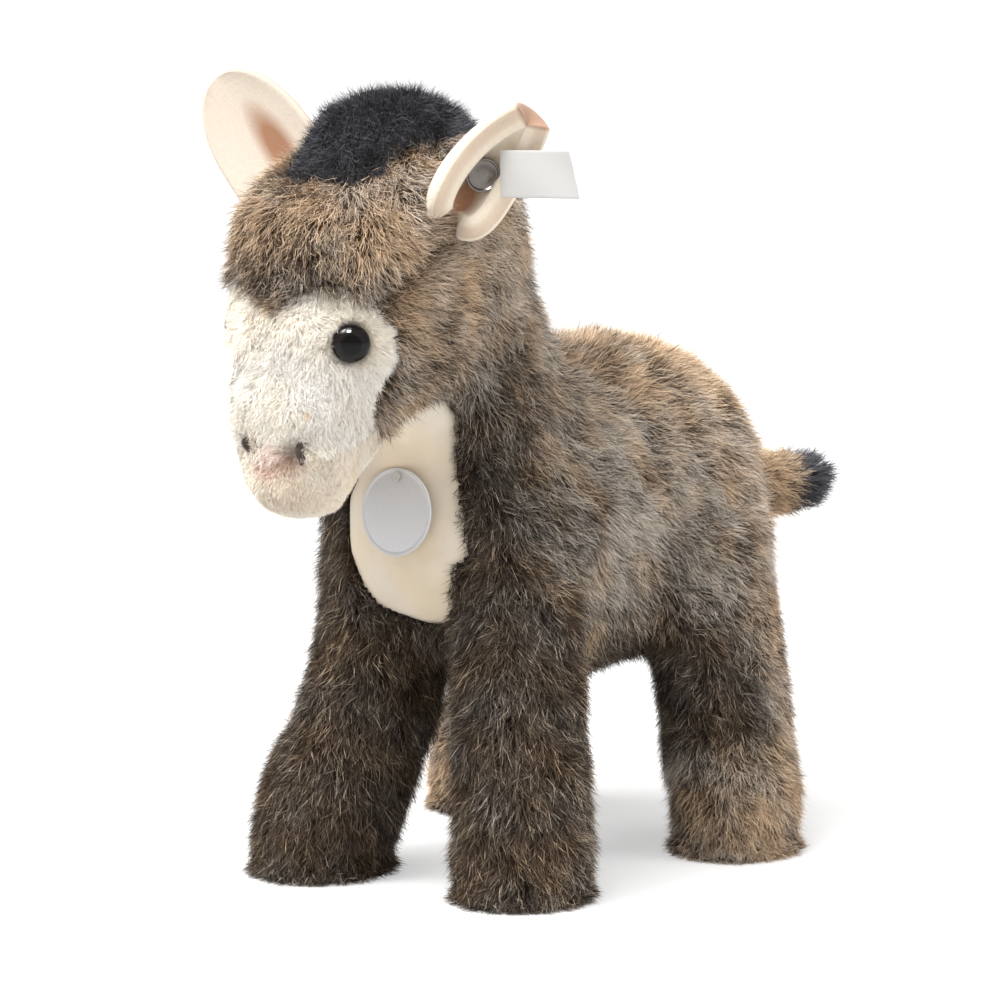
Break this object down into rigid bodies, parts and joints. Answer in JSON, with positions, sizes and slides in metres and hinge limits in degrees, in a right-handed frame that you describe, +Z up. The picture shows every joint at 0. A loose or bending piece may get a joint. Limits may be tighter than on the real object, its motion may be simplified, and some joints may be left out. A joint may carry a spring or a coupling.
{
  "type": "plush toy donkey",
  "caption": "Standing stuffed plush donkey toy with a pale face and bib, a dark mane and tail tip, upright cupped ears, a metal ear stud with a ribbon, and a round chest tag.",
  "frame": {"origin": "centre of the bounding box in plan, at floor level, under the soles", "axes": "+Z up, the donkey looks along -Y, its left side is at +X"},
  "size_m": [0.1396, 0.2498, 0.2338],
  "materials": {
    "plush_brown": "long grey-brown pile with frosted tips",
    "plush_white": "short white pile",
    "plush_black": "blue-black pile",
    "velour_cream": "smooth cream velour",
    "eye_black": "glossy",
    "thread_brown": "stitched thread",
    "metal_nickel": "satin",
    "ribbon_white": "woven satin ribbon",
    "card_white": "coated card",
    "plastic_clear": "translucent"
  },
  "bodies": {
    "root": {"bib": "velour_cream", "chest_tag": "card_white", "ear_button": "metal_nickel", "ear_flag": "ribbon_white", "ear_left": "velour_cream", "ear_right": "velour_cream", "eye_left": "eye_black", "eye_right": "eye_black", "face_mask": "plush_white", "head": "plush_brown", "leg_front_left": "plush_brown", "leg_front_right": "plush_brown", "leg_hind_left": "plush_brown", "leg_hind_right": "plush_brown", "mane": "plush_black", "muzzle": "velour_cream", "neck": "plush_brown", "nostril_left": "thread_brown", "nostril_right": "thread_brown", "tag_pin": "plastic_clear", "tail": "plush_brown", "tail_tip": "plush_black", "trunk": "plush_brown"}
  },
  "joints": []
}
